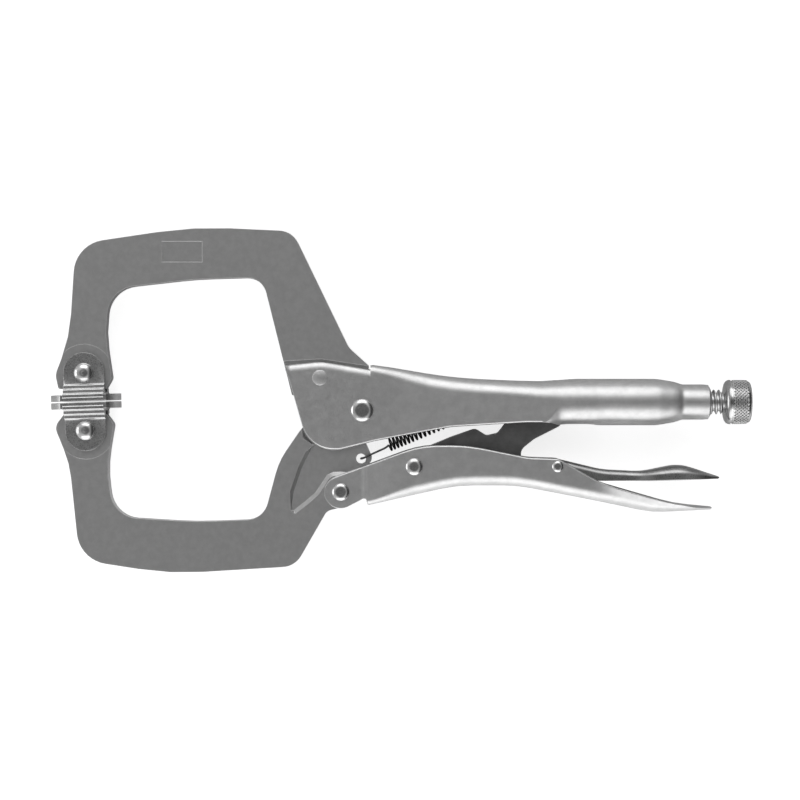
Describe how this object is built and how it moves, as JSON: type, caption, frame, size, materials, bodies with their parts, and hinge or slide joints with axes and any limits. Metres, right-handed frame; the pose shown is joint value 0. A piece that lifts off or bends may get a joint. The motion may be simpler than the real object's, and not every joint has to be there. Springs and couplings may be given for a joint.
{
  "type": "locking pliers",
  "caption": "Locking C-clamp pliers with deep jaw arms, swivel pads, toggle link, release lever and knurled adjusting screw.",
  "frame": {"origin": "middle of the fixed pad's clamping face, on the mid-plane", "axes": "+X along the tool towards the adjusting knob; +Y from the moving handle towards the fixed one; +Z through the tool's thickness, so it lies on its side"},
  "size_m": [0.2797, 0.137, 0.0232],
  "materials": {
    "handle_plate": "satin nickel plate over pressed steel",
    "jaw_steel": "matte forged and plated steel",
    "rivet_steel": "bright polished rivets",
    "link_steel": "dark stamped plate",
    "lever_steel": "darker plated sheet",
    "screw_steel": "turned and knurled steel",
    "pad_steel": "bright plated pressings",
    "spring_wire": "black spring wire"
  },
  "bodies": {
    "root": {"upper_handle": "handle_plate", "upper_jaw": "jaw_steel", "jaw_fixing_rivet": "handle_plate", "jaw_pivot_rivet": "rivet_steel", "upper_pad_rivet": "rivet_steel", "spring": "spring_wire"},
    "lower_jaw": {"lower_jaw": "jaw_steel", "lower_pad_rivet": "rivet_steel"},
    "lower_handle": {"lower_handle": "handle_plate", "lower_jaw_rivet": "rivet_steel", "toggle_rivet": "rivet_steel", "release_lever_rivet": "rivet_steel"},
    "toggle_link": {"toggle_link": "link_steel"},
    "release_lever": {"release_lever": "lever_steel"},
    "screw": {"adjusting_screw": "screw_steel"},
    "knob": {"adjusting_knob": "screw_steel"},
    "upper_pad": {"upper_pad_yoke": "pad_steel", "upper_pad_disc": "pad_steel"},
    "lower_pad": {"lower_pad_yoke": "pad_steel", "lower_pad_disc": "pad_steel"}
  },
  "joints": [
    {"name": "jaw_open", "type": "hinge", "parent": "root", "child": "lower_jaw", "pos_m": [0.1104, -0.0037, 0], "axis": [0, 0, 1], "range_deg": [0, 13], "deforming": ["spring"]},
    {"name": "handle_swing", "type": "hinge", "parent": "lower_jaw", "child": "lower_handle", "pos_m": [0.1019, -0.0362, 0], "axis": [0, 0, 1], "range_deg": [-45.04, 0.5]},
    {"name": "link_swing", "type": "hinge", "parent": "lower_handle", "child": "toggle_link", "pos_m": [0.1311, -0.0261, 0], "axis": [0, 0, 1], "range_deg": [-0.5, 46.16]},
    {"name": "release_lever_tilt", "type": "hinge", "parent": "lower_handle", "child": "release_lever", "pos_m": [0.1881, -0.026, 0], "axis": [0, 0, 1], "range_deg": [-8, 0]},
    {"name": "upper_pad_swivel", "type": "hinge", "parent": "root", "child": "upper_pad", "pos_m": [-0.00037, 0.01119, 0], "axis": [0, 0, 1], "range_deg": [-0.5, 7]},
    {"name": "lower_pad_swivel", "type": "hinge", "parent": "lower_jaw", "child": "lower_pad", "pos_m": [0.00037, -0.01169, 0], "axis": [0, 0, 1], "range_deg": [-7, 0.5]},
    {"name": "screw_travel", "type": "slide", "parent": "root", "child": "screw", "axis": [1, 0, 0], "range_m": [0, 0.024]},
    {"name": "knob_spin", "type": "hinge", "parent": "screw", "child": "knob", "pos_m": [0.26, -0.0004, 0], "axis": [1, 0, 0], "range_deg": [-30, 4400]}
  ],
  "couplings": [
    {"joint": "handle_swing", "follows": "jaw_open", "ratio": -3.4262},
    {"joint": "link_swing", "follows": "jaw_open", "ratio": 3.512},
    {"joint": "upper_pad_swivel", "follows": "jaw_open", "ratio": 0.5},
    {"joint": "lower_pad_swivel", "follows": "jaw_open", "ratio": -0.5},
    {"joint": "knob_spin", "follows": "screw_travel", "rad_per_m": 3141.6}
  ]
}
